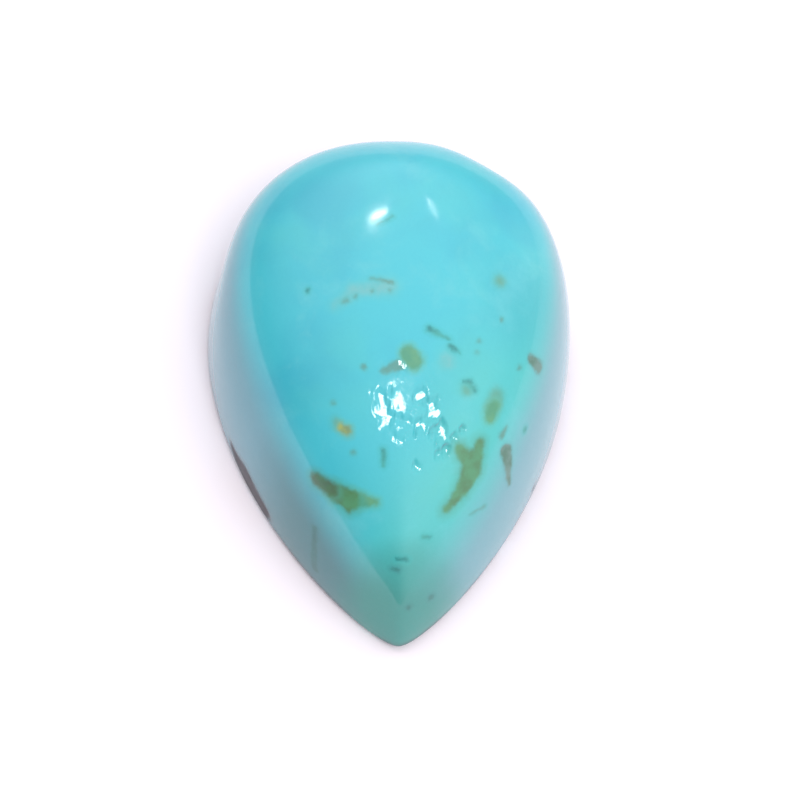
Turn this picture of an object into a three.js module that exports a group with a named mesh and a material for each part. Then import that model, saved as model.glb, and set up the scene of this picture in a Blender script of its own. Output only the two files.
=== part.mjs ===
// A polished turquoise cabochon: a high-domed pear with a flat ground base.
// One natural stone, so one solid. Millimetres, +Z up, origin at the middle of the base,
// long axis along Y, pointed end at -Y, round end at +Y.
import * as THREE from 'three';

// Driving dimensions of the whole stone, in millimetres
const LENGTH = 13.3;
const WIDTH = 10.0;
const HEIGHT = 6.4;

// The girdle is the widest line, just above the base; a small ground bevel runs below it
const GIRDLE_HEIGHT = 0.25;
const BEVEL_INSET = 0.18;

// The top of the dome stands above the round half, this far towards +Y from the middle
const APEX_Y = 4.59;

// Side profile: the wall rises, turns over at the shoulder and runs into the arched crown.
// It leans back at the tip; at the round end it stands upright below a tighter shoulder.
const WALL_FULLNESS_TIP = 4.0;
const WALL_FULLNESS_BACK = 12.0;
const SHOULDER_FULLNESS_TIP = 1.57;
const SHOULDER_FULLNESS_BACK = 2.73;
const CROWN_ARCH = 0.31;

// Plan outline at the girdle: exponents of a pear curve, 0.5 is round and 1 is a straight point
const TIP_SHARPNESS_GIRDLE = 0.79;
const TIP_SHARPNESS_APEX = 0.54;
const ROUND_END_GIRDLE = 0.398;
const ROUND_END_APEX = 0.5;

// The very tip is blunt, over about this share of the length
const TIP_ROUNDING = 0.013;

// How fast each end of a level closes on the apex as the levels get smaller
const TIP_SLOPE = 1.36;
const BACK_SLOPE = 0.96;

// Fineness of the faceted surface
const STEPS_AROUND = 104;
const LEVELS = 41;
const LEVEL_CROWDING = 0.6;

// Places where the hand grinding leaves the surface lower than the true pear.
// Each is a soft dish: its middle, its reach along the surface and its depth.
const DISHES = [
  { name: 'flat on the right of the round end', at: [2.53, 5.81, 4.48], reach: 1.21, depth: 0.18 },
  { name: 'flat on the left wall', at: [-5.15, 3.92, 2.38], reach: 1.41, depth: 0.12 },
];

const TIP_Y = -LENGTH / 2;
const BACK_Y = LENGTH / 2;
const CROWN_HEIGHT = HEIGHT - GIRDLE_HEIGHT;

function blend(from, to, share) {
  return from + (to - from) * share;
}

// Unscaled half width of a pear at u: a power of u at the tip, round within TIP_ROUNDING of
// it, times a power of what is left to the round end
function pear(u, tip, round) {
  return Math.sqrt(u) * (u + TIP_ROUNDING) ** (tip - 0.5) * (1 - u) ** round;
}

// Half width of a pear at u, from 0 at the tip to 1 at the round end; its widest is 1
function pearHalfWidth(u, tip, round) {
  return pear(u, tip, round) / pear(tip / (tip + round), tip, round);
}

// One point of the dome. rise runs from 0 at the girdle to a quarter turn at the apex, and
// turn is the angle around the level, from 0 at the tip through a half turn at the round end.
function domePoint(rise, turn) {
  const size = Math.cos(rise) ** LEVEL_CROWDING;
  const u = (1 - Math.cos(turn)) / 2;
  const wall = 1 - size ** blend(WALL_FULLNESS_TIP, WALL_FULLNESS_BACK, u);
  const shoulder = wall ** (1 / blend(SHOULDER_FULLNESS_TIP, SHOULDER_FULLNESS_BACK, u));
  const height = (1 - CROWN_ARCH) * shoulder + CROWN_ARCH * (1 - size * size);
  const tip = blend(TIP_SHARPNESS_APEX, TIP_SHARPNESS_GIRDLE, size);
  const round = blend(ROUND_END_APEX, ROUND_END_GIRDLE, size);
  const tipEnd = blend(APEX_Y, TIP_Y, size ** TIP_SLOPE);
  const backEnd = blend(APEX_Y, BACK_Y, size ** BACK_SLOPE);
  const side = Math.sin(turn) < 0 ? -1 : 1;
  const x = (side * WIDTH * size * pearHalfWidth(u, tip, round)) / 2;
  return new THREE.Vector3(x, blend(tipEnd, backEnd, u), GIRDLE_HEIGHT + CROWN_HEIGHT * height);
}

// Moves a point level towards the stone's middle by the dishes that reach it
function dished(point) {
  let depth = 0;
  for (const dish of DISHES) {
    const gap = point.distanceTo(new THREE.Vector3(...dish.at)) / dish.reach;
    depth += dish.depth * Math.exp(-gap * gap);
  }
  const inward = new THREE.Vector3(-point.x, -point.y, 0).normalize();
  return point.clone().addScaledVector(inward, depth);
}

// The base outline is the girdle drawn in by the bevel and set down at height 0
function basePoint(girdlePoint) {
  const inward = new THREE.Vector3(-girdlePoint.x, -girdlePoint.y, 0).normalize();
  const point = girdlePoint.clone().addScaledVector(inward, BEVEL_INSET);
  return point.setZ(0);
}

// Closed mesh: base centre, base outline, one ring of points for each level, apex
function cabochonGeometry() {
  const points = [new THREE.Vector3(0, 0, 0)];
  const girdle = [];
  for (let i = 0; i < STEPS_AROUND; i += 1) {
    girdle.push(dished(domePoint(0, (2 * Math.PI * i) / STEPS_AROUND)));
  }
  points.push(...girdle.map(basePoint), ...girdle);
  for (let level = 1; level < LEVELS; level += 1) {
    const rise = (Math.PI / 2) * (level / LEVELS);
    for (let i = 0; i < STEPS_AROUND; i += 1) {
      points.push(dished(domePoint(rise, (2 * Math.PI * i) / STEPS_AROUND)));
    }
  }
  points.push(new THREE.Vector3(0, APEX_Y, HEIGHT));

  const triangles = [];
  const apex = points.length - 1;
  const ringStart = (ring) => 1 + ring * STEPS_AROUND;
  for (let i = 0; i < STEPS_AROUND; i += 1) {
    const next = (i + 1) % STEPS_AROUND;
    triangles.push(0, ringStart(0) + next, ringStart(0) + i);
    for (let ring = 0; ring < LEVELS; ring += 1) {
      const low = ringStart(ring);
      const high = ringStart(ring + 1);
      triangles.push(low + i, low + next, high + next);
      triangles.push(low + i, high + next, high + i);
    }
    triangles.push(ringStart(LEVELS) + i, ringStart(LEVELS) + next, apex);
  }

  const geometry = new THREE.BufferGeometry().setFromPoints(points);
  geometry.setIndex(triangles);
  geometry.computeVertexNormals();
  return geometry;
}

const turquoise = new THREE.MeshStandardMaterial({
  color: 0x5cc4d4,
  roughness: 0.22,
  metalness: 0,
});

const group = new THREE.Group();
const stone = new THREE.Mesh(cabochonGeometry(), turquoise);
stone.name = 'turquoise_cabochon';
group.add(stone);

export default group;
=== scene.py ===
import logging
import math
from dataclasses import dataclass, field
from enum import Enum
from typing import Any, Optional, Union

import bpy
import numpy as np
from mathutils import Matrix, Vector


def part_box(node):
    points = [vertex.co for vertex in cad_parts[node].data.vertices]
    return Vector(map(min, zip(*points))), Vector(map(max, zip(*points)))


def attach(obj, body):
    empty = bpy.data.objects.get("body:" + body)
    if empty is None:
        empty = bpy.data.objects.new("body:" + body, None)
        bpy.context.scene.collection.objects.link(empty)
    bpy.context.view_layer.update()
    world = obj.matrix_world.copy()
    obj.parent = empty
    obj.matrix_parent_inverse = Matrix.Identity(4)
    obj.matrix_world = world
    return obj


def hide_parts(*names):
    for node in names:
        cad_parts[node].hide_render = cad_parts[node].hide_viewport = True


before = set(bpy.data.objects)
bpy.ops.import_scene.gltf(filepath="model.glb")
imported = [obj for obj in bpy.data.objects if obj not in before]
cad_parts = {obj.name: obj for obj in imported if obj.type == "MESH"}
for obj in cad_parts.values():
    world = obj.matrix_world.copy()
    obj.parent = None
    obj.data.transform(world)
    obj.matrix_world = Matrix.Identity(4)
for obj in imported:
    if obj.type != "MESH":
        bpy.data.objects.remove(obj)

LOG = logging.getLogger("cabochon")
MM = 0.001
TINY = 1e-12
STONE_NODE = "turquoise_cabochon"
Number = Union[int, float]
Point = tuple[float, float, float]
Colour = tuple[float, float, float]
Pair = tuple[float, float]


def placed(name: str, data: Union[bpy.types.Mesh, bpy.types.Light, bpy.types.Camera]) -> bpy.types.Object:
    """Makes an object and links it to the scene.

    Args:
        name: The object's name.
        data: Its mesh, lamp or camera.

    Returns:
        The object.
    """
    made = bpy.data.objects.new(name, data)
    bpy.context.scene.collection.objects.link(made)
    return made


def direction(azimuth: float, elevation: float) -> Vector:
    """The unit vector towards a place in the sky.

    Args:
        azimuth: Degrees from +Y towards +X.
        elevation: Degrees above the floor.

    Returns:
        The direction.
    """
    a, e = math.radians(azimuth), math.radians(elevation)
    return Vector((math.sin(a) * math.cos(e), math.cos(a) * math.cos(e), math.sin(e)))


class Value:
    """A number that a shader node puts out. Arithmetic on it adds Math nodes."""

    def __init__(self, graph: "Graph", socket: Optional[bpy.types.NodeSocket]) -> None:
        """Keeps the socket and the graph that it belongs to."""
        self.graph = graph
        self.socket = socket

    def math(self, operation: str, *others: Union["Value", Number], clamp: bool = False) -> "Value":
        """Adds a Math node whose first input is this value.

        Args:
            operation: The node's operation, such as ADD.
            others: The values of its further inputs.
            clamp: Whether the result is held between 0 and 1.

        Returns:
            The node's result.
        """
        inputs = dict(enumerate((self, *others)))
        return self.graph.node("ShaderNodeMath", {"operation": operation, "use_clamp": clamp}, inputs)

    def __add__(self, other: Union["Value", Number]) -> "Value":
        """This value plus another."""
        return self.math("ADD", other)

    def __radd__(self, other: Number) -> "Value":
        """A plain number plus this value."""
        return self.math("ADD", other)

    def __sub__(self, other: Union["Value", Number]) -> "Value":
        """This value less another."""
        return self.math("SUBTRACT", other)

    def __rsub__(self, other: Number) -> "Value":
        """A plain number less this value: this value times -1, plus the number."""
        return self.math("MULTIPLY_ADD", -1.0, other)

    def __mul__(self, other: Union["Value", Number]) -> "Value":
        """This value times another."""
        return self.math("MULTIPLY", other)

    def __rmul__(self, other: Number) -> "Value":
        """A plain number times this value."""
        return self.math("MULTIPLY", other)

    def __truediv__(self, other: Union["Value", Number]) -> "Value":
        """This value divided by another."""
        return self.math("DIVIDE", other)

    def least(self, other: Union["Value", Number]) -> "Value":
        """The lower of this value and another."""
        return self.math("MINIMUM", other)

    def most(self, other: Union["Value", Number]) -> "Value":
        """The higher of this value and another."""
        return self.math("MAXIMUM", other)

    def held(self) -> "Value":
        """This value held between 0 and 1."""
        return self.math("ADD", 0.0, clamp=True)

    def ease(self, start: Number, end: Number) -> "Value":
        """Runs smoothly from 0 where this value is start to 1 where it is end.

        Args:
            start: The value that gives 0.
            end: The value that gives 1; it may be lower than start.

        Returns:
            The eased share.
        """
        settings = {"interpolation_type": "SMOOTHSTEP", "clamp": True}
        inputs = {"Value": self, "From Min": start, "From Max": end}
        return self.graph.node("ShaderNodeMapRange", settings, inputs)


class Graph:
    """Builds one node tree: every node comes from the node method."""

    def __init__(self, tree: bpy.types.NodeTree) -> None:
        """Clears the tree that is to be filled."""
        self.tree = tree
        self.tree.nodes.clear()

    @classmethod
    def of_material(cls, name: str) -> tuple[bpy.types.Material, "Graph"]:
        """Makes an empty material.

        Args:
            name: The material's name.

        Returns:
            The material and the graph of its nodes.
        """
        made = bpy.data.materials.new(name)
        made.use_nodes = True
        return made, cls(made.node_tree)

    def node(
        self,
        kind: str,
        settings: Optional[dict[str, Any]] = None,
        inputs: Optional[dict[Union[str, int], Any]] = None,
        output: Union[str, int] = 0,
    ) -> Value:
        """Adds one node.

        Args:
            kind: The node's Blender type.
            settings: Its properties, set first.
            inputs: Values or links of its sockets, by name or by number.
            output: The output that is handed back, by name or by number.

        Returns:
            The chosen output.
        """
        made = self.tree.nodes.new(kind)
        for name, setting in (settings or {}).items():
            setattr(made, name, setting)
        for name, value in (inputs or {}).items():
            if isinstance(value, Value):
                self.tree.links.new(value.socket, made.inputs[name])
            else:
                made.inputs[name].default_value = value
        return Value(self, made.outputs[output] if len(made.outputs) else None)

    def place(self, output: str) -> Value:
        """One of the places or directions that Texture Coordinate gives, such as Object."""
        return self.node("ShaderNodeTexCoord", None, None, output)

    def part(self, vector: Value, axis: str) -> Value:
        """One part of a vector: X, Y or Z."""
        return self.node("ShaderNodeSeparateXYZ", None, {0: vector}, axis)

    def vector(self, operation: str, *parts: Any, output: int = 0) -> Value:
        """Adds a Vector Math node with those inputs."""
        return self.node("ShaderNodeVectorMath", {"operation": operation}, dict(enumerate(parts)), output)

    def measure(self, operation: str, first: Any, second: Any) -> Value:
        """A number from two vectors: their DISTANCE or their DOT_PRODUCT."""
        return self.vector(operation, first, second, output=1)

    def scaled(self, vector: Any, factor: Union[Value, Number]) -> Value:
        """A vector times a number."""
        return self.node("ShaderNodeVectorMath", {"operation": "SCALE"}, {"Vector": vector, "Scale": factor})

    def blend(self, share: Union[Value, Number], first: Any, second: Any, way: str = "MIX") -> Value:
        """Mixes two colours.

        Args:
            share: How much of the second colour shows, from 0 to 1.
            first: The colour at share 0, as a Value or a plain colour.
            second: The colour at share 1.
            way: The Mix node's blend type.

        Returns:
            The mixed colour.
        """
        colours = [c if isinstance(c, Value) else (*c, 1.0) for c in (first, second)]
        settings = {"data_type": "RGBA", "blend_type": way, "clamp_factor": True}
        return self.node("ShaderNodeMix", settings, {0: share, 6: colours[0], 7: colours[1]}, 2)


@dataclass(frozen=True)
class Grain:
    """A random pattern in three dimensions, with its sizes in millimetres.

    It has the size of its largest grains, the number and weight of its finer layers, the noise
    values where it starts to show and where it is full, and how it is drawn out and moved.
    """

    size: float
    detail: float = 2.0
    rough: float = 0.5
    shown: Pair = (0.0, 1.0)
    drawn: Optional[Point] = None
    moved: Optional[Point] = None

    def noise(self, at: Value) -> Value:
        """The plain pattern.

        Args:
            at: The place, in millimetres.

        Returns:
            The noise at the place, from 0 to 1.
        """
        graph = at.graph
        at = graph.vector("MULTIPLY", at, self.drawn) if self.drawn else at
        at = graph.vector("ADD", at, self.moved) if self.moved else at
        inputs = {"Vector": at, "Scale": 1.0 / self.size, "Detail": self.detail, "Roughness": self.rough}
        return graph.node("ShaderNodeTexNoise", {"noise_dimensions": "3D"}, inputs, "Fac")

    def share(self, at: Value) -> Value:
        """How much of the pattern shows at a place, from 0 to 1."""
        return self.noise(at).ease(*self.shown)


@dataclass(frozen=True)
class Wander:
    """A random shift of a pattern: its wave length and how far it moves, in millimetres."""

    size: float
    amount: float
    detail: float = 2.0

    def shift(self, at: Value) -> Value:
        """The shift at a place: three noises as a vector, centred on zero, times the amount.

        Args:
            at: The place, in millimetres.

        Returns:
            The shift, in millimetres.
        """
        graph = at.graph
        inputs = {"Vector": at, "Scale": 1.0 / self.size, "Detail": self.detail}
        cloud = graph.node("ShaderNodeTexNoise", {"noise_dimensions": "3D"}, inputs, "Color")
        return graph.scaled(graph.vector("SUBTRACT", cloud, (0.5, 0.5, 0.5)), self.amount)


class Tint(Enum):
    """The colours of the matrix that runs through the turquoise."""

    OLIVE = "olive"
    FERN = "fern"
    MOSS = "moss"
    SAGE = "sage"
    RUST = "rust"
    VEIL = "veil"
    SMOKE = "smoke"
    SLATE = "slate"
    DARK = "dark"
    DUSK = "dusk"
    HOST = "host"


@dataclass(frozen=True)
class Fleck:
    """One inclusion on or just under the skin: a dot, or a tapering stretch between two ends.

    Each end is x, y, z and half width, in millimetres.
    """

    name: str
    tint: Tint
    ends: tuple[tuple[float, float, float, float], ...]


FLECKS: tuple[Fleck, ...] = (
    Fleck("left wedge, brown end", Tint.OLIVE, ((-2.26, -3.03, 3.43, 0.2), (-1.88, -3.37, 3.48, 0.21))),
    Fleck("left wedge, green body", Tint.FERN, ((-1.72, -3.5, 3.5, 0.28), (-1.38, -3.72, 3.52, 0.29))),
    Fleck("left wedge, lower lobe", Tint.FERN, ((-1.42, -3.78, 3.38, 0.2),)),
    Fleck("left wedge, thin end", Tint.MOSS, ((-1.3, -3.7, 3.58, 0.24), (-0.72, -3.86, 3.71, 0.1))),
    Fleck("right blade, upper body", Tint.FERN, ((1.94, -2.73, 4.0, 0.29), (1.86, -3.05, 3.79, 0.33))),
    Fleck("right blade, lower body", Tint.FERN, ((1.86, -3.09, 3.76, 0.3), (1.64, -3.44, 3.6, 0.22))),
    Fleck("right blade, left horn", Tint.FERN, ((1.57, -2.58, 4.29, 0.15), (1.78, -2.78, 4.07, 0.22))),
    Fleck("right blade, right horn", Tint.FERN, ((2.12, -2.36, 4.18, 0.14), (2.05, -2.67, 3.99, 0.2))),
    Fleck("right blade, point", Tint.FERN, ((1.62, -3.46, 3.59, 0.19), (1.21, -3.96, 3.4, 0.11))),
    Fleck("far blade", Tint.SLATE, ((2.86, -2.31, 3.53, 0.22), (3.0, -2.89, 2.55, 0.05))),
    Fleck("green drop above the pits", Tint.MOSS, ((0.18, -0.34, 5.59, 0.22), (0.33, -0.51, 5.53, 0.24))),
    Fleck("dark patch above the pits", Tint.SMOKE, ((-0.48, -0.76, 5.43, 0.1), (-0.11, -0.64, 5.49, 0.16))),
    Fleck("pale freckle", Tint.VEIL, ((1.23, -0.49, 5.44, 0.19),)),
    Fleck("green dash, upper", Tint.DARK, ((0.74, 0.31, 5.75, 0.08), (1.3, 0.06, 5.62, 0.04))),
    Fleck("green dash, lower", Tint.DARK, ((1.31, -0.14, 5.55, 0.07), (1.59, -0.27, 5.45, 0.02))),
    Fleck("small hook, top", Tint.DARK, ((1.66, -0.99, 5.16, 0.04), (1.83, -0.96, 5.12, 0.06))),
    Fleck("small hook, side", Tint.DARK, ((1.83, -0.96, 5.12, 0.06), (1.96, -1.15, 4.98, 0.05))),
    Fleck("inside the small hook", Tint.SAGE, ((1.77, -1.16, 5.05, 0.13),)),
    Fleck("brown spot on the right", Tint.SLATE, ((3.55, -0.02, 4.47, 0.14), (3.8, -0.13, 4.12, 0.17))),
    Fleck("rust spot on the left", Tint.RUST, ((-1.64, -2.04, 4.63, 0.11), (-1.47, -2.16, 4.62, 0.14))),
    Fleck("head of the left rust spot", Tint.SAGE, ((-1.78, -1.92, 4.65, 0.07),)),
    Fleck("oval, upper half", Tint.SAGE, ((2.58, -1.2, 4.65, 0.2), (2.5, -1.43, 4.56, 0.25))),
    Fleck("oval, lower half", Tint.MOSS, ((2.5, -1.47, 4.55, 0.17), (2.4, -1.71, 4.45, 0.17))),
    Fleck("oval, tail", Tint.SMOKE, ((2.87, -1.8, 4.0, 0.05), (2.71, -2.05, 3.94, 0.09))),
    Fleck("grain on the crown", Tint.SAGE, ((2.71, 1.74, 5.66, 0.13),)),
    Fleck("veil", Tint.VEIL, ((-1.3, 1.37, 5.95, 0.12), (-0.3, 1.42, 6.03, 0.2))),
    Fleck("veil, outer end", Tint.VEIL, ((-1.75, 1.0, 5.8, 0.06), (-1.3, 1.3, 5.93, 0.12))),
    Fleck("veil, upper line", Tint.SMOKE, ((-0.78, 1.67, 6.06, 0.03), (-0.22, 1.52, 6.05, 0.05))),
    Fleck("veil, dark bead", Tint.SMOKE, ((-0.75, 1.31, 5.99, 0.04),)),
    Fleck("veil, right bead", Tint.SMOKE, ((-0.28, 1.31, 6.01, 0.03),)),
    Fleck("veil, left bead", Tint.SMOKE, ((-1.2, 1.2, 5.92, 0.04),)),
    Fleck("veil, far bead", Tint.SMOKE, ((-1.52, 1.08, 5.85, 0.04), (-1.42, 1.12, 5.87, 0.05))),
    Fleck("faint grains", Tint.SMOKE, ((-1.02, -0.64, 5.42, 0.08),)),
    Fleck("grain under the olive one", Tint.SMOKE, ((2.74, 0.72, 5.4, 0.06),)),
    Fleck("upper of two grains", Tint.SMOKE, ((2.11, 0.09, 5.43, 0.05),)),
    Fleck("lower of two grains", Tint.SMOKE, ((2.05, -0.22, 5.35, 0.04),)),
    Fleck("grain before the rust spot", Tint.SMOKE, ((3.23, -0.37, 4.64, 0.07),)),
    Fleck("dot right of the oval", Tint.DARK, ((3.4, -1.64, 3.41, 0.08),)),
    Fleck("grain on the left shoulder", Tint.SMOKE, ((-1.82, -1.43, 4.89, 0.06),)),
    Fleck("crown speck", Tint.DARK, ((-2.47, 1.49, 5.7, 0.06),)),
    Fleck("scratch on the crown", Tint.DARK, ((-0.58, 3.15, 6.31, 0.005), (-0.16, 3.38, 6.33, 0.012))),
    Fleck("faint grain by the sliver", Tint.SMOKE, ((-1.3, -2.69, 4.35, 0.07),)),
    Fleck("sliver", Tint.DARK, ((-0.51, -2.72, 4.54, 0.07), (-0.49, -3.06, 4.33, 0.04))),
    Fleck("dash by the tip", Tint.DARK, ((-0.16, -5.1, 2.78, 0.05), (0.15, -5.13, 2.76, 0.06))),
    Fleck("smudge below the dash", Tint.DUSK, ((-0.26, -5.28, 2.56, 0.03), (-0.1, -5.35, 2.54, 0.04))),
    Fleck("small dash right of it", Tint.DARK, ((0.6, -4.62, 3.1, 0.05), (0.74, -4.61, 3.04, 0.04))),
    Fleck("low fleck on the tip ridge", Tint.DUSK, ((0.22, -6.05, 1.59, 0.06),)),
    Fleck("grain on the right of the tip", Tint.DUSK, ((0.85, -5.73, 1.48, 0.09),)),
    Fleck("shade in the right flank", Tint.SMOKE, ((1.9, -3.9, 2.92, 0.03), (2.3, -3.62, 2.76, 0.06))),
    Fleck("host rock, upper end", Tint.HOST, ((-4.42, -0.95, 0.6, 0.2), (-4.08, -1.74, 0.6, 0.44))),
    Fleck("host rock, lower end", Tint.HOST, ((-4.08, -1.74, 0.6, 0.44), (-3.6, -2.72, 0.5, 0.3))),
    Fleck("seam in the left flank", Tint.DUSK, ((-2.28, -3.98, 2.23, 0.09), (-2.25, -4.6, 0.9, 0.12))),
    Fleck("speck on the right girdle", Tint.HOST, ((3.86, -2.18, 0.6, 0.08),)),
)


@dataclass(frozen=True)
class Stain:
    """How one tint looks, with its sizes in millimetres.

    It has two colours that take turns in patches, half the width of its soft edge, the colour
    and the reach of its fringe, and how much of the fringe and of the stain itself shows.
    """

    colour: Colour
    patchy: Colour
    soft: float
    fringe: Colour
    spread: float
    halo: float
    strength: float


STAINS: dict[Tint, Stain] = {
    Tint.VEIL: Stain((0.21, 0.45, 0.43), (0.13, 0.46, 0.46), 0.15, (0.1, 0.5, 0.51), 0.32, 0.35, 0.6),
    Tint.HOST: Stain((0.03, 0.015, 0.022), (0.04, 0.03, 0.04), 0.14, (0.09, 0.18, 0.21), 0.3, 0.5, 0.94),
    Tint.SLATE: Stain((0.07, 0.17, 0.11), (0.12, 0.23, 0.19), 0.07, (0.1, 0.36, 0.36), 0.16, 0.4, 0.92),
    Tint.SMOKE: Stain((0.1, 0.25, 0.19), (0.085, 0.33, 0.29), 0.07, (0.08, 0.42, 0.41), 0.14, 0.3, 0.75),
    Tint.SAGE: Stain((0.13, 0.32, 0.21), (0.1, 0.35, 0.26), 0.12, (0.09, 0.43, 0.38), 0.26, 0.4, 0.8),
    Tint.MOSS: Stain((0.12, 0.34, 0.17), (0.08, 0.3, 0.17), 0.09, (0.11, 0.44, 0.33), 0.22, 0.5, 0.88),
    Tint.FERN: Stain((0.08, 0.2, 0.085), (0.085, 0.28, 0.13), 0.09, (0.08, 0.37, 0.29), 0.3, 0.5, 0.93),
    Tint.OLIVE: Stain((0.08, 0.145, 0.085), (0.075, 0.18, 0.085), 0.1, (0.09, 0.34, 0.28), 0.25, 0.45, 0.93),
    Tint.RUST: Stain((0.36, 0.4, 0.09), (0.2, 0.28, 0.12), 0.08, (0.14, 0.42, 0.3), 0.2, 0.6, 0.88),
    Tint.DARK: Stain((0.02, 0.22, 0.21), (0.05, 0.34, 0.29), 0.06, (0.05, 0.42, 0.41), 0.16, 0.45, 0.85),
    Tint.DUSK: Stain((0.03, 0.14, 0.13), (0.04, 0.18, 0.17), 0.06, (0.05, 0.21, 0.21), 0.16, 0.3, 0.6),
}


@dataclass(frozen=True)
class Turquoise:
    """The finish of the stone: polished turquoise with matrix, ground matt underneath.

    Spans and reaches give the place where a tone starts and the place where it is full, in
    millimetres. The span of the walls' painted shade and painted reflection is a share instead:
    the upward part of the surface's normal.
    """

    # Tones of the dome
    sky: Colour = (0.065, 0.51, 0.595)
    deep: Colour = (0.045, 0.405, 0.53)
    green: Colour = (0.088, 0.52, 0.485)
    milk: Colour = (0.14, 0.56, 0.6)
    tip: Colour = (0.055, 0.29, 0.26)
    drift: Wander = Wander(3.0, 1.6)
    deep_cloud: Grain = Grain(3.2, 4.0, shown=(0.42, 0.68))
    deep_share: float = 0.65
    deep_middle: Point = (3.5, 1.1, 5.0)
    deep_reach: Pair = (1.9, 0.3)
    sea_cloud: Grain = Grain(2.6, 4.0, shown=(0.45, 0.7), moved=(7.0, 3.0, 1.0))
    sea_share: float = 0.25
    green_lean: float = 1.4
    green_span: Pair = (0.0, 6.0)
    green_share: float = 0.8
    milk_cloud: Grain = Grain(1.4, 5.0, 0.6, shown=(0.5, 0.74), moved=(-4.0, 9.0, 5.0))
    milk_share: float = 0.4
    tip_span: Pair = (-4.5, -6.2)
    speckle: Grain = Grain(0.09, 3.0, 0.6)
    speckle_tones: tuple[Colour, Colour] = ((0.3, 0.3, 0.3), (0.75, 0.75, 0.75))
    speckle_share: float = 0.08

    # Painted shade and painted reflection on the steep walls: shade at the front by the point and on the
    # left, reflection on the left, right and rear
    shaded_front_wall: Colour = (0.07, 0.22, 0.245)
    left_wall_shade_and_sheen: Colour = (0.122, 0.35, 0.43)
    right_wall_sheen: Colour = (0.158, 0.38, 0.435)
    rear_wall_sheen: Colour = (0.09, 0.41, 0.48)
    painted_wall_span: Pair = (0.66, 0.3)
    left_span: Pair = (-4.0, -1.0)
    right_span: Pair = (-1.5, 2.0)
    rear_span: Pair = (2.0, 5.0)
    rear_milk: float = 0.7

    # Matrix
    wander: Wander = Wander(0.45, 0.17, 3.0)
    ragged: Wander = Wander(0.12, 0.08)
    patches: Grain = Grain(0.45, 3.0, shown=(0.35, 0.65))

    # Painted contact shade along the girdle, and the ground base
    girdle_shade: Colour = (0.06, 0.08, 0.1)
    girdle_shade_span: Pair = (0.5, 0.2)
    girdle_shade_cloud: Grain = Grain(0.8, 3.0, shown=(0.3, 0.55))
    girdle_shade_share: float = 0.75
    ground: Colour = (0.2, 0.42, 0.42)
    ground_span: Pair = (0.02, 0.0)
    ground_share: float = 0.75
    saw_marks: Grain = Grain(0.16, 3.0, drawn=(1.0, 0.08, 1.0))
    saw_share: float = 0.4

    # Roughness: the polish, then what is added by wear, matrix, host rock and bevel
    gloss: float = 0.07
    matt: float = 0.6
    wear: Grain = Grain(0.7, 4.0, shown=(0.35, 0.75))
    wear_matt: float = 0.06
    matrix_matt: float = 0.12
    host_matt: float = 0.25
    bevel_matt: float = 0.2
    bevel_span: Pair = (0.28, 0.2)
    ior: float = 1.62

    # Bump: scratches and pinholes, strongest on the ground base and in the rubbed place
    scratches: Grain = Grain(0.03, drawn=(1.0, 0.15, 1.0))
    base_scratch: float = 0.8
    fine_scratch: float = 0.02
    pinholes: Grain = Grain(0.11, shown=(0.5, 0.75))
    rubbed_middle: Point = (0.5, -1.9, 4.95)
    rubbed_reach: Pair = (1.5, 0.4)
    rubbed_pinholes: float = 0.35
    fine_pinholes: float = 0.02
    bump_strength: float = 0.6
    bump_depth: float = 0.012

    @staticmethod
    def gap(at: Value, fleck: Fleck) -> Value:
        """How far a point lies outside a fleck.

        The nearest place of a stretch from a to b is a + t (b - a), where t is the point's
        share along the stretch, held between 0 and 1. The half width at that place is
        blended by the same share and taken off the distance.

        Args:
            at: The point, in millimetres.
            fleck: The fleck.

        Returns:
            Millimetres from the fleck's edge, negative inside.
        """
        graph = at.graph
        start, end = fleck.ends[0], fleck.ends[-1]
        if len(fleck.ends) == 1:
            return graph.measure("DISTANCE", at, start[:3]) - start[3]
        run = tuple(e - s for s, e in zip(start[:3], end[:3]))
        away = graph.vector("SUBTRACT", at, start[:3])
        square = sum(r * r for r in run)
        share = (graph.measure("DOT_PRODUCT", away, run) / square).held()
        nearest = graph.scaled(run, share)
        return graph.measure("DISTANCE", away, nearest) - (share * (end[3] - start[3]) + start[3])

    def gaps(self, at: Value) -> dict[Tint, Value]:
        """The distance outside the nearest fleck of each tint, with ragged edges.

        Args:
            at: The point on the stone, in millimetres.

        Returns:
            For each tint, millimetres from the edge, negative inside.
        """
        graph = at.graph
        shifted = graph.vector("ADD", at, self.wander.shift(at))
        shifted = graph.vector("ADD", shifted, self.ragged.shift(at))
        gaps = {}
        for tint in STAINS:
            nearest = None
            for fleck in (f for f in FLECKS if f.tint is tint):
                gap = self.gap(shifted, fleck)
                nearest = gap if nearest is None else nearest.least(gap)
            gaps[tint] = nearest
        return gaps

    @staticmethod
    def masks(gaps: dict[Tint, Value]) -> dict[Tint, Value]:
        """How much of each tint shows, from 0 to 1, with its soft edge."""
        return {tint: gap.ease(STAINS[tint].soft, -STAINS[tint].soft) for tint, gap in gaps.items()}

    def walls(self, across: Value, along: Value, milk: Value) -> Value:
        """The steep walls' colour, with painted shade and painted reflection.

        Painted shade makes it dark at the front by the pointed end; painted reflection makes it
        bluer further back on the left, paler on the right, and cloudy at the rear.

        Args:
            across: Millimetres towards +X, with the drift of the clouds.
            along: Millimetres towards +Y, with the same drift.
            milk: How much milk shows, from 0 to 1.

        Returns:
            The colour.
        """
        graph = along.graph
        rear = graph.blend(milk * self.rear_milk, self.rear_wall_sheen, self.right_wall_sheen)
        wall = graph.blend(along.ease(*self.left_span), self.shaded_front_wall, self.left_wall_shade_and_sheen)
        wall = graph.blend(across.ease(*self.right_span), wall, self.right_wall_sheen)
        return graph.blend(along.ease(*self.rear_span), wall, rear)

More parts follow.
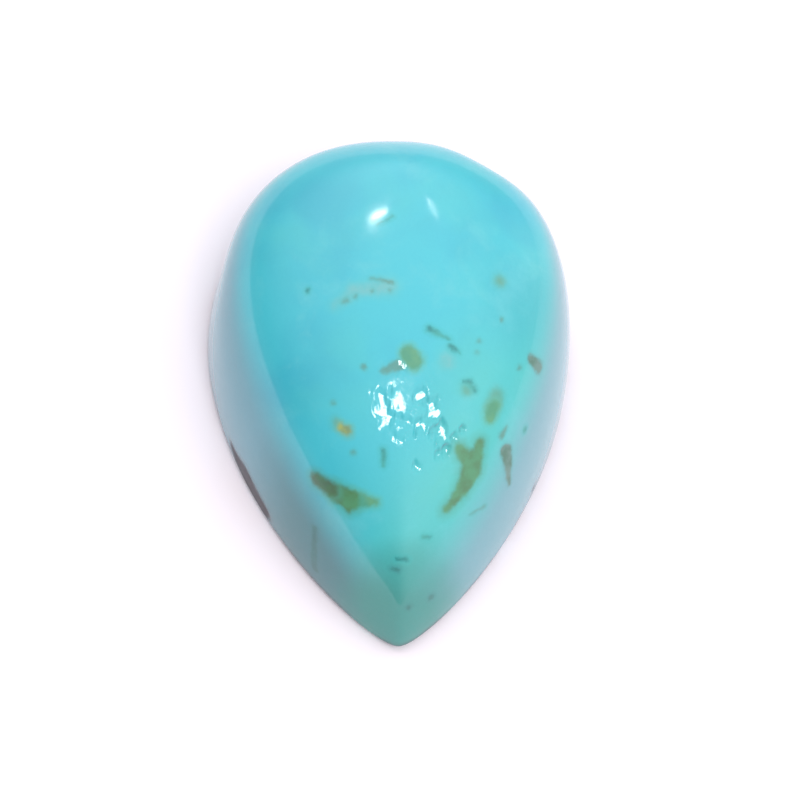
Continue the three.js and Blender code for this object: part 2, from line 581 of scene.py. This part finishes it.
    def body(self, at: Value) -> Value:
        """The colour of the bare turquoise.

        Clouds of deeper blue, sea green and milk lie in the sky blue. One deeper cloud has a
        place of its own on the right shoulder, and the green gathers towards the right and
        the front. Where the surface is steep, the painted shade and painted reflection of the
        steep sides take over, and the pointed end is dark green. A fine speckle lies over all.

        Args:
            at: The point on the stone, in millimetres.

        Returns:
            The colour.
        """
        graph = at.graph
        drift = graph.vector("ADD", at, self.drift.shift(at))
        across, along = graph.part(drift, "X"), graph.part(drift, "Y")
        deep = self.deep_cloud.share(drift) * self.deep_share
        deep = deep + graph.measure("DISTANCE", at, self.deep_middle).ease(*self.deep_reach)
        green = (across * self.green_lean - along).ease(*self.green_span) * self.green_share
        green = self.sea_cloud.share(drift) * self.sea_share + green
        milk = self.milk_cloud.share(drift)
        colour = graph.blend(deep.held(), self.sky, self.deep)
        colour = graph.blend(green.held(), colour, self.green)
        colour = graph.blend(milk * self.milk_share, colour, self.milk)
        # Painted shade and painted reflection on the steep walls, laid on by the surface's normal
        steep = graph.part(graph.place("Normal"), "Z").ease(*self.painted_wall_span)
        colour = graph.blend(steep, colour, self.walls(across, along, milk))
        colour = graph.blend(along.ease(*self.tip_span), colour, self.tip)
        speckle = graph.blend(self.speckle.noise(at), *self.speckle_tones)
        return graph.blend(self.speckle_share, colour, speckle, "OVERLAY")

    def colour(self, at: Value, gaps: dict[Tint, Value], masks: dict[Tint, Value], base: Value) -> Value:
        """The colour of the stone all over.

        The flecks and their fringes lie over the bare turquoise, then come a painted contact
        shade along the girdle and the ground base with its saw marks.

        Args:
            at: The point on the stone, in millimetres.
            gaps: The distance outside the flecks of each tint.
            masks: How much of each tint shows.
            base: 1 on the ground base and 0 elsewhere.

        Returns:
            The base colour.
        """
        graph = at.graph
        colour = self.body(at)
        patches = self.patches.share(at)
        for tint, stain in STAINS.items():
            halo = gaps[tint].ease(stain.spread, 0.0) * stain.halo
            colour = graph.blend(halo, colour, stain.fringe)
            inside = graph.blend(patches, stain.colour, stain.patchy)
            colour = graph.blend(masks[tint] * stain.strength, colour, inside)
        # Painted contact shade: darker towards the girdle, broken up by a cloud
        line = graph.part(at, "Z").ease(*self.girdle_shade_span) * self.girdle_shade_cloud.share(at)
        colour = graph.blend(line * self.girdle_shade_share, colour, self.girdle_shade)
        saw = self.saw_marks.noise(at)
        ground = graph.blend(saw * self.saw_share, self.ground, self.milk)
        return graph.blend(base * self.ground_share, colour, ground)

    def roughness(self, at: Value, masks: dict[Tint, Value], base: Value) -> Value:
        """How rough the stone is: glossy, less so where it is worn or soft, matt underneath.

        Args:
            at: The point on the stone, in millimetres.
            masks: How much of each tint shows.
            base: 1 on the ground base and 0 elsewhere.

        Returns:
            The roughness, from 0 to 1.
        """
        graph = at.graph
        matrix = masks[Tint.OLIVE].most(masks[Tint.HOST]).most(masks[Tint.RUST]).most(masks[Tint.FERN])
        bevel = graph.part(at, "Z").ease(*self.bevel_span)
        rough = self.gloss + self.wear.share(at) * self.wear_matt
        rough = rough + matrix * self.matrix_matt + masks[Tint.HOST] * self.host_matt
        rough = rough + bevel * self.bevel_matt + base * (self.matt - self.gloss)
        return rough.held()

    def bump(self, at: Value, base: Value) -> Value:
        """The finest relief: scratches less pinholes.

        Args:
            at: The point on the stone, in millimetres.
            base: 1 on the ground base and 0 elsewhere.

        Returns:
            The bent normal.
        """
        graph = at.graph
        scratches = self.scratches.noise(at) * (base * self.base_scratch + self.fine_scratch)
        rubbed = graph.measure("DISTANCE", at, self.rubbed_middle).ease(*self.rubbed_reach)
        strength = rubbed * self.rubbed_pinholes + self.fine_pinholes
        height = scratches - self.pinholes.share(at) * strength
        inputs = {"Strength": self.bump_strength, "Distance": self.bump_depth * MM, "Height": height}
        return graph.node("ShaderNodeBump", None, inputs)

    def material(self, name: str) -> bpy.types.Material:
        """Builds the material.

        Args:
            name: The material's name.

        Returns:
            The finished material.
        """
        made, graph = Graph.of_material(name)
        at = graph.scaled(graph.place("Object"), 1.0 / MM)
        base = graph.part(at, "Z").ease(*self.ground_span)
        gaps = self.gaps(at)
        masks = self.masks(gaps)
        inputs = {
            "Base Color": self.colour(at, gaps, masks, base),
            "Roughness": self.roughness(at, masks, base),
            "IOR": self.ior,
            "Normal": self.bump(at, base),
        }
        shader = graph.node("ShaderNodeBsdfPrincipled", None, inputs)
        graph.node("ShaderNodeOutputMaterial", None, {"Surface": shader})
        return made


@dataclass(frozen=True)
class Dish:
    """A soft hollow in the dome: its middle, its reach along the surface and its depth, in mm."""

    name: str
    middle: Point
    reach: float
    depth: float


@dataclass(frozen=True)
class Pit:
    """A tiny worn flat: the ends of its middle line, its half width and its depth, in mm."""

    name: str
    start: Point
    end: Point
    half_width: float
    depth: float


@dataclass(frozen=True)
class Ripple:
    """An even random relief: a sum of plane waves with seeded directions and phases.

    It has the typical length of a wave in millimetres, how many waves are added, the seed,
    and the shortest and the longest wave as shares of the typical one.
    """

    wavelength: float
    waves: int
    seed: int
    spread: Pair = (0.7, 1.5)

    def relief(self, points: np.ndarray) -> np.ndarray:
        """The relief: the sum of sin(2 pi (point . direction) / length + phase) over the waves.

        Args:
            points: Where the relief is wanted, in millimetres.

        Returns:
            The relief, of unit spread.
        """
        random = np.random.default_rng(self.seed)
        ways = random.normal(size=(self.waves, 3))
        ways /= np.linalg.norm(ways, axis=1, keepdims=True)
        lengths = self.wavelength * random.uniform(*self.spread, self.waves)
        phases = random.uniform(0.0, 2 * np.pi, self.waves)
        total = np.zeros(points.shape[:-1])
        for way, length, phase in zip(ways, lengths, phases):
            total += np.sin(points @ way * (2 * np.pi / length) + phase)
        return total * math.sqrt(2 / self.waves)


@dataclass
class Cabochon:
    """The stone: a high-domed pear with a steep wall, a small ground bevel and a flat base.

    All sizes are millimetres. The length and height come from the frame; the rest repeats
    the named dimensions of the part's source. The width is the one before the flats.
    """

    length: float
    height: float
    width: float = 10.0
    girdle: float = 0.25
    bevel: float = 0.18
    apex: float = 4.59
    wall_fullness: Pair = (4.0, 12.0)
    shoulder_fullness: Pair = (1.57, 2.73)
    arch: float = 0.31
    tip_sharpness: Pair = (0.54, 0.79)
    tip_rounding: float = 0.013
    round_end: Pair = (0.5, 0.398)
    tip_slope: float = 1.36
    back_slope: float = 0.96
    crowding: float = 0.6
    dishes: tuple[Dish, ...] = (
        Dish("flat on the right of the round end", (2.53, 5.81, 4.48), 1.21, 0.18),
        Dish("flat on the left wall", (-5.15, 3.92, 2.38), 1.41, 0.12),
    )

    # Fineness of the surface, how low its first level lies as a share of the second's rise, and
    # how far the rounding of the bevel's edges reaches
    around: int = 420
    levels: int = 196
    first_level: float = 0.4
    base_rings: int = 8
    fillet_steps: int = 4
    fillet: float = 0.07

    # The polish: an orange peel on the crown, and a faint swell all over
    peel_middle: Point = (0.1, -1.9, 4.98)
    peel_reach: float = 1.1
    peel_depth: float = 0.002
    peel_floor: float = 1.5
    peel: Ripple = Ripple(0.22, 60, 11)
    swell_depth: float = 0.0006
    swell_floor: float = 3.0
    swell: Ripple = Ripple(1.3, 40, 5)

    # The pits: which way their flats face, in degrees, their soft and ragged edges, and the
    # depth that none of them passes
    pit_azimuth: float = 185.0
    pit_elevation: float = 66.3
    pit_edge: float = 0.05
    pit_limit: float = 0.095
    pit_raggedness: float = 0.3
    pit_ripple: Ripple = Ripple(0.25, 30, 3)
    pits: tuple[Pit, ...] = (
        Pit("bar", (-0.56, -1.4, 5.18), (-0.46, -1.96, 4.94), 0.21, 0.033),
        Pit("patch beside the bar", (-0.14, -1.52, 5.16), (-0.08, -1.76, 5.07), 0.17, 0.016),
        Pit("upper end of the chain", (0.46, -1.4, 5.18), (0.62, -1.46, 5.14), 0.18, 0.042),
        Pit("bend of the chain", (0.76, -1.6, 5.06), (0.84, -1.86, 4.95), 0.19, 0.055),
        Pit("lower end of the chain", (0.5, -2.06, 4.88), (0.56, -2.12, 4.84), 0.2, 0.046),
        Pit("thread of the chain", (-0.04, -1.97, 4.96), (0.22, -2.09, 4.89), 0.12, 0.034),
        Pit("blob", (1.0, -2.21, 4.72), (1.03, -2.28, 4.68), 0.27, 0.078),
        Pit("crumb by the blade", (1.24, -2.66, 4.39), (1.26, -2.68, 4.37), 0.14, 0.062),
        Pit("crumb above it", (1.42, -2.37, 4.52), (1.43, -2.4, 4.5), 0.12, 0.056),
        Pit("crumb below the blob", (1.0, -2.76, 4.4), (1.02, -2.78, 4.38), 0.11, 0.045),
        Pit("outer crumb", (1.64, -2.13, 4.56), (1.66, -2.16, 4.54), 0.1, 0.05),
        Pit("lone glint", (0.36, -3.05, 4.37), (0.46, -3.11, 4.31), 0.11, 0.045),
        Pit("glint by the green drop", (-0.06, -0.6, 5.5), (-0.04, -0.64, 5.49), 0.08, 0.014),
        Pit("second glint by the drop", (0.04, -0.7, 5.47), (0.05, -0.74, 5.45), 0.08, 0.014),
        Pit("third glint by the drop", (-0.16, -0.74, 5.45), (-0.14, -0.78, 5.44), 0.07, 0.012),
        Pit("thread below the bar", (-0.26, -2.38, 4.75), (-0.06, -2.5, 4.7), 0.08, 0.018),
    )
    finish: Turquoise = Turquoise()

    @classmethod
    def from_frame(cls, node: str) -> "Cabochon":
        """Takes the outer sizes of the stone from its node in the frame."""
        low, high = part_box(node)
        return cls(length=(high[1] - low[1]) / MM, height=(high[2] - low[2]) / MM)

    def pear(self, share: np.ndarray, tip: np.ndarray, back: np.ndarray) -> np.ndarray:
        """Half width of a pear: share to the tip power times (1 - share) to the back power.

        Within the tip rounding of the point, the tip power gives way to a plain square root,
        which is round.

        Args:
            share: 0 at the tip and 1 at the round end.
            tip: The exponent at the tip.
            back: The exponent at the round end.

        Returns:
            The half width, scaled so that the widest place is 1.
        """

        def unscaled(u: np.ndarray) -> np.ndarray:
            """The half width before it is scaled."""
            return np.sqrt(u) * (u + self.tip_rounding) ** (tip - 0.5) * (1 - u) ** back

        return unscaled(share) / unscaled(tip / (tip + back))

    def dome(self, rise: np.ndarray, turn: np.ndarray) -> np.ndarray:
        """Points of the dome, by level and by angle around it.

        A level's size is cos(rise) to the crowding power. Its height is a superellipse of the
        size, (1 - size^wall)^(1 / shoulder), mixed with a plain arch 1 - size^2; wall and
        shoulder are blended from the tip to the round end. Its outline is a pear whose ends
        close on the apex as powers of the size.

        Args:
            rise: 0 at the girdle and a quarter turn at the apex.
            turn: The angle around a level, 0 at the tip and half a turn at the round end.

        Returns:
            Points in millimetres, in the shape of rise and turn together, with three columns.
        """
        rise, turn = np.broadcast_arrays(rise, turn)
        size = np.clip(np.cos(rise), 0.0, 1.0) ** self.crowding
        share = (1 - np.cos(turn)) / 2
        wall, shoulder = (
            near + (far - near) * share for near, far in (self.wall_fullness, self.shoulder_fullness)
        )
        full = np.clip(1 - size**wall, 0.0, 1.0) ** (1 / shoulder)
        high = (1 - self.arch) * full + self.arch * (1 - size**2)
        tip, back = (top + (low - top) * size for top, low in (self.tip_sharpness, self.round_end))
        tip_end = self.apex - (self.length / 2 + self.apex) * size**self.tip_slope
        back_end = self.apex + (self.length / 2 - self.apex) * size**self.back_slope
        across = np.sign(np.sin(turn)) * self.width / 2 * size * self.pear(share, tip, back)
        along = tip_end + (back_end - tip_end) * share
        return np.stack([across, along, self.girdle + (self.height - self.girdle) * high], -1)

    @staticmethod
    def inward(points: np.ndarray) -> np.ndarray:
        """Level unit vectors from points towards the stone's upright middle line."""
        towards = -points * np.array([1.0, 1.0, 0.0])
        return towards / np.maximum(np.linalg.norm(towards, axis=-1, keepdims=True), TINY)

    def dished(self, points: np.ndarray) -> np.ndarray:
        """Moves points level inwards by each dish's depth times exp(-(distance / reach)^2).

        Args:
            points: Points of the dome, in millimetres.

        Returns:
            The moved points.
        """
        depth = np.zeros(points.shape[:-1])
        for dish in self.dishes:
            gap = np.linalg.norm(points - np.array(dish.middle), axis=-1) / dish.reach
            depth += dish.depth * np.exp(-(gap**2))
        return points + self.inward(points) * depth[..., None]

    def pitted(self, points: np.ndarray) -> tuple[np.ndarray, np.ndarray]:
        """Where the small pits are, and how deep they are cut, in millimetres.

        Every pit is cut by a plane that faces the pits' own direction and lies the pit's depth
        below its middle, but nowhere deeper than the limit. The cut fades out across the pit's
        ragged edge.

        Args:
            points: Points of the dome.

        Returns:
            How far each point is inside a pit, from 0 to 1, and its depth.
        """
        facing = np.array(direction(self.pit_azimuth, self.pit_elevation))
        ragged = 1 + self.pit_raggedness * self.pit_ripple.relief(points)
        depth, within = np.zeros((2, *points.shape[:-1]))
        for pit in self.pits:
            start, end = np.array(pit.start), np.array(pit.end)
            run, away = end - start, points - start
            share = np.clip(away @ run / (run @ run), 0.0, 1.0)
            gap = np.linalg.norm(away - share[..., None] * run, axis=-1)
            inside = np.clip((pit.half_width * ragged - gap) / self.pit_edge + 0.5, 0.0, 1.0)
            cut = (points - (start + end) / 2) @ facing + pit.depth
            cut = np.clip(cut, 0.0, min(2 * pit.depth, self.pit_limit))
            depth = np.maximum(depth, inside * cut)
            within = np.maximum(within, inside)
        return within, depth

    def relief(self, points: np.ndarray) -> np.ndarray:
        """How far the hand polish leaves the dome below its true shape, in millimetres.

        A faint swell runs all over but fades out towards the girdle. The orange peel fades as
        exp(-(distance / reach)^4) and stops at the pits, whose cuts are added.

        Args:
            points: Points of the dome.

        Returns:
            The depth at each point, never negative.
        """
        gap = np.linalg.norm(points - np.array(self.peel_middle), axis=-1) / self.peel_reach
        peel = self.peel_depth * np.exp(-(gap**4)) * (self.peel_floor + self.peel.relief(points))
        swell = self.swell_depth * (self.swell_floor + self.swell.relief(points))
        rim = np.clip((points[..., 2] - self.girdle) / self.girdle, 0.0, 1.0)
        inside, cut = self.pitted(points)
        return np.clip(peel * (1 - inside) + swell * rim, 0.0, None) + cut

    @staticmethod
    def turned(start: np.ndarray, corner: np.ndarray, end: np.ndarray, steps: int) -> np.ndarray:
        """Rings of a rounded edge: (1-t)^2 start + 2 t (1-t) corner + t^2 end."""
        t = np.linspace(0.0, 1.0, steps + 1)[:, None, None]
        return (1 - t) ** 2 * start + 2 * t * (1 - t) * corner + t**2 * end

    @staticmethod
    def normals(grid: np.ndarray) -> np.ndarray:
        """Outward unit normals: the cross product of the grid's two directions.

        Args:
            grid: Rings of points from the bottom up, in the shape (rings, around, 3).

        Returns:
            A normal for each point.
        """
        across = np.roll(grid, -1, axis=1) - np.roll(grid, 1, axis=1)
        upward = np.gradient(grid, axis=0)
        normal = np.cross(across, upward)
        return normal / np.maximum(np.linalg.norm(normal, axis=-1, keepdims=True), TINY)

    def rings(self) -> np.ndarray:
        """All rings of points from the middle of the base up to just under the apex.

        The base is the girdle outline drawn in by the bevel at height 0, shrunk ring by ring.
        The two edges of the bevel are rounded. Above the girdle come the levels of the dome,
        less their relief.

        Returns:
            Points in millimetres, ring by ring, in the shape (rings, around, 3).
        """
        turn = np.linspace(0.0, 2 * np.pi, self.around, endpoint=False)[None, :]
        rise = np.linspace(0.0, math.pi / 2, self.levels + 1)[:-1, None]
        rise[0] = rise[1] * self.first_level
        wall = self.dished(self.dome(rise, turn))
        girdle = self.dished(self.dome(np.zeros((1, 1)), turn))
        inward = self.inward(girdle)
        foot = (girdle + inward * self.bevel) * np.array([1.0, 1.0, 0.0])
        share = self.fillet / math.hypot(self.girdle, self.bevel)
        low = foot + (girdle - foot) * share
        high = girdle + (foot - girdle) * share
        flat = foot + inward * self.fillet
        shrink = np.linspace(0.0, 1.0, self.base_rings + 1)[1:-1, None, None]
        base = flat * shrink
        lower_edge = self.turned(flat, foot, low, self.fillet_steps)
        upper_edge = self.turned(high, girdle, wall[:1], self.fillet_steps)
        dome = wall[1:]
        dome = dome - self.normals(dome) * self.relief(dome)[..., None]
        return np.concatenate([base, lower_edge, upper_edge, dome])

    def mesh(self, name: str) -> bpy.types.Mesh:
        """Puts the rings and the two end points into a closed mesh, in metres.

        Args:
            name: The mesh's name.

        Returns:
            The mesh, with its faces outwards and smooth.
        """
        rings = self.rings()
        count, around = rings.shape[:2]
        peak = np.array([[0.0, self.apex, self.height]])
        peak[:, 2] -= self.relief(peak)
        points = np.concatenate([np.zeros((1, 3)), rings.reshape(-1, 3), peak]) * MM
        step = np.arange(around)
        after = (step + 1) % around
        start = 1 + around * np.arange(count - 1)[:, None]
        quads = np.stack([start + step, start + after, start + around + after, start + around + step], -1)
        last = 1 + around * (count - 1)
        foot = np.stack([np.zeros_like(step), 1 + after, 1 + step], -1)
        head = np.stack([last + step, last + after, np.full_like(step, len(points) - 1)], -1)
        faces = [*quads.reshape(-1, 4).tolist(), *foot.tolist(), *head.tolist()]
        made = bpy.data.meshes.new(name)
        made.from_pydata(points.tolist(), [], faces)
        made.polygons.foreach_set("use_smooth", np.ones(len(made.polygons), dtype=bool))
        made.update()
        return made

    def build(self) -> bpy.types.Object:
        """Makes the stone, dresses it and puts it in place of its plain node.

        Returns:
            The stone's object.
        """
        name = "polished_turquoise"
        stone = placed(name, self.mesh(name))
        stone.data.materials.append(self.finish.material("turquoise with matrix"))
        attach(stone, "root")
        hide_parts(STONE_NODE)
        return stone


@dataclass(frozen=True)
class Lamp:
    """One oval lamp that faces the stone: its two diameters in metres, and its turn in degrees."""

    name: str
    azimuth: float
    elevation: float
    size: Pair
    power: float
    turn: float = 0.0
    seen: bool = True
    distance: float = 0.3

    def build(self, target: Vector) -> bpy.types.Object:
        """Hangs the lamp, turns it towards the stone and says if reflections show it.

        Args:
            target: The place that it faces, in metres.

        Returns:
            The lamp's object.
        """
        data = bpy.data.lights.new(self.name, "AREA")
        data.shape = "ELLIPSE"
        data.size, data.size_y = self.size
        data.energy = self.power
        lamp = placed(self.name, data)
        towards = direction(self.azimuth, self.elevation)
        spin = Matrix.Rotation(math.radians(self.turn), 3, "Z")
        lamp.location = target + towards * self.distance
        lamp.rotation_euler = (towards.to_track_quat("Z", "Y").to_matrix() @ spin).to_euler()
        lamp.visible_glossy = self.seen
        return lamp


@dataclass(frozen=True)
class Window:
    """A broad soft light in the sky: where it is, how bright, and how tightly it gathers."""

    name: str
    azimuth: float
    elevation: float
    strength: float
    tightness: float


@dataclass
class Studio:
    """The white table, the pale backdrop, the soft sky and the lamps, in metres."""

    # White paper, with a faint cloud of a second white
    paper_size: float = 1.0
    paper: Colour = (0.97, 0.9, 0.95)
    paper_cloud: Colour = (0.97, 0.93, 0.97)
    paper_grain: Grain = Grain(2.0, 4.0)
    paper_share: float = 0.3
    paper_rough: float = 0.9
    paper_shine: float = 0.1

    # A ring of pale card
    card: Colour = (0.9, 0.91, 0.93)
    card_radius: float = 0.42
    card_height: float = 0.4
    card_sides: int = 48

    # The sky: its spans are the upward part of a direction, from where it starts to full
    sky_colour: Colour = (1.02, 1.0, 1.03)
    zenith: float = 0.58
    zenith_span: Pair = (0.13, 1.0)
    horizon: float = 0.3
    horizon_span: Pair = (0.3, 0.0)
    windows: tuple[Window, ...] = (
        Window("rear window", -3.6, 45.0, 1.31, 3.8),
        Window("right window", 70.0, 13.5, 0.9, 20.0),
        Window("front window", 138.0, 26.0, 1.09, 3.8),
    )

    target: Vector = field(default_factory=lambda: Vector((0.0, 0.0, 0.003)))
    lamps: tuple[Lamp, ...] = (
        Lamp("front lamp", 180.5, 66.7, (0.029, 0.039), 0.06),
        Lamp("soft front lamp", 162.0, 66.0, (0.09, 0.09), 0.17, seen=False),
        Lamp("left lamp", 300.0, 62.0, (0.12, 0.12), 0.028, seen=False),
        Lamp("rear strip", -9.0, 74.4, (0.034, 0.004), 0.016, turn=4.0),
        Lamp("rear spot", 40.0, 66.6, (0.02, 0.009), 0.0036),
    )

    @staticmethod
    def staged(
        name: str, points: list[Point], faces: list[tuple[int, ...]], dress: bpy.types.Material
    ) -> bpy.types.Object:
        """Makes a piece of the studio.

        Args:
            name: The piece's name.
            points: Its corners, in metres.
            faces: Its faces.
            dress: Its material.

        Returns:
            The piece.
        """
        data = bpy.data.meshes.new(name)
        data.from_pydata(points, [], faces)
        data.materials.append(dress)
        made = placed(name, data)
        return made

    def floor(self) -> None:
        """Lays the white table: one flat square of paper."""
        half = self.paper_size / 2
        points = [(-half, -half, 0.0), (half, -half, 0.0), (half, half, 0.0), (-half, half, 0.0)]
        paper, graph = Graph.of_material("white paper")
        at = graph.scaled(graph.place("Object"), 1.0 / MM)
        cloud = self.paper_grain.noise(at) * self.paper_share
        tone = graph.blend(cloud, self.paper, self.paper_cloud)
        inputs = {"Base Color": tone, "Roughness": self.paper_rough, "Specular IOR Level": self.paper_shine}
        shader = graph.node("ShaderNodeBsdfPrincipled", None, inputs)
        graph.node("ShaderNodeOutputMaterial", None, {"Surface": shader})
        self.staged("table_top", points, [(0, 1, 2, 3)], paper)

    def backdrop(self) -> None:
        """Stands a pale ring of card far behind the stone, seen but lighting nothing."""
        sides = self.card_sides
        turns = [2 * math.pi * i / sides for i in range(sides)]
        points = [
            (self.card_radius * math.cos(t), self.card_radius * math.sin(t), z)
            for z in (0.0, self.card_height)
            for t in turns
        ]
        faces = [(i, (i + 1) % sides, sides + (i + 1) % sides, sides + i) for i in range(sides)]
        card, graph = Graph.of_material("pale card")
        glow = graph.node("ShaderNodeEmission", None, {"Color": (*self.card, 1.0), "Strength": 1.0})
        graph.node("ShaderNodeOutputMaterial", None, {"Surface": glow})
        ring = self.staged("backdrop", points, faces, card)
        ring.visible_diffuse = False
        ring.visible_glossy = False
        ring.visible_shadow = False

    def sky(self) -> None:
        """Lights the scene from all round, with three broad windows.

        The plain sky has a faint band at the horizon and brightens to the zenith. Each window
        adds its strength times exp(tightness (cos(angle from its middle) - 1)).
        """
        world = bpy.data.worlds.new("soft tent")
        world.use_nodes = True
        graph = Graph(world.node_tree)
        towards = graph.place("Generated")
        up = graph.part(towards, "Z")
        strength = up.ease(*self.zenith_span) * self.zenith + up.ease(*self.horizon_span) * self.horizon
        for window in self.windows:
            middle = tuple(direction(window.azimuth, window.elevation))
            near = graph.measure("DOT_PRODUCT", towards, middle) - 1.0
            strength = strength + (near * window.tightness).math("EXPONENT") * window.strength
        inputs = {"Color": (*self.sky_colour, 1.0), "Strength": strength}
        glow = graph.node("ShaderNodeBackground", None, inputs)
        graph.node("ShaderNodeOutputWorld", None, {"Surface": glow})
        bpy.context.scene.world = world

    def build(self) -> None:
        """Makes the whole studio."""
        self.floor()
        self.backdrop()
        self.sky()
        for lamp in self.lamps:
            lamp.build(self.target)
            LOG.info("lamp %s at %.0f, %.0f degrees", lamp.name, lamp.azimuth, lamp.elevation)


@dataclass(frozen=True)
class Viewpoint:
    """The photograph's camera: where it stands, how it is tilted and how far it zooms.

    The clip span is in camera distances. The aim point, in millimetres, falls on its pixel.
    """

    azimuth: float = 9.11
    elevation: float = 66.0
    roll: float = 7.82
    distance: float = 0.15
    pixels_per_mm: float = 36.14
    frame_pixels: int = 800
    sensor: float = 36.0
    clip: Pair = (0.1, 20.0)
    aim: Point = (0.0, 0.0, 0.0)
    aim_pixel: Pair = (389.95, 425.3)

    def build(self) -> bpy.types.Object:
        """Makes the scene's camera.

        The camera looks along a fixed direction; it is moved sideways until the aim point
        falls on its pixel.

        Returns:
            The camera.
        """
        a, e, r = (math.radians(v) for v in (self.azimuth, self.elevation, self.roll))
        side = Vector((math.cos(a), -math.sin(a), 0.0))
        upward = Vector((math.sin(a) * math.sin(e), math.cos(a) * math.sin(e), math.cos(e)))
        back = side.cross(upward)
        right = side * math.cos(r) + upward * math.sin(r)
        top = upward * math.cos(r) - side * math.sin(r)
        middle = self.frame_pixels / 2
        shift_right, shift_down = ((middle - pixel) / self.pixels_per_mm * MM for pixel in self.aim_pixel)
        place = Vector(self.aim) * MM + back * self.distance + right * shift_right - top * shift_down
        data = bpy.data.cameras.new("photo camera")
        data.sensor_width = self.sensor
        data.lens = self.sensor * self.pixels_per_mm / MM * self.distance / self.frame_pixels
        data.clip_start, data.clip_end = (self.distance * share for share in self.clip)
        camera = placed("photo_camera", data)
        axes = Matrix((right, top, back)).transposed()
        camera.matrix_world = Matrix.Translation(place) @ axes.to_4x4()
        bpy.context.scene.camera = camera
        return camera


def main() -> None:
    """Builds the stone, the studio and the camera."""
    logging.basicConfig(level=logging.INFO, format="%(name)s: %(message)s")
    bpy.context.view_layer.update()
    bpy.context.scene.view_settings.view_transform = "Standard"
    Viewpoint().build()
    stone = Cabochon.from_frame(STONE_NODE).build()
    LOG.info("%s: %d faces", stone.name, len(stone.data.polygons))
    Studio().build()


if __name__ == "__main__":
    main()
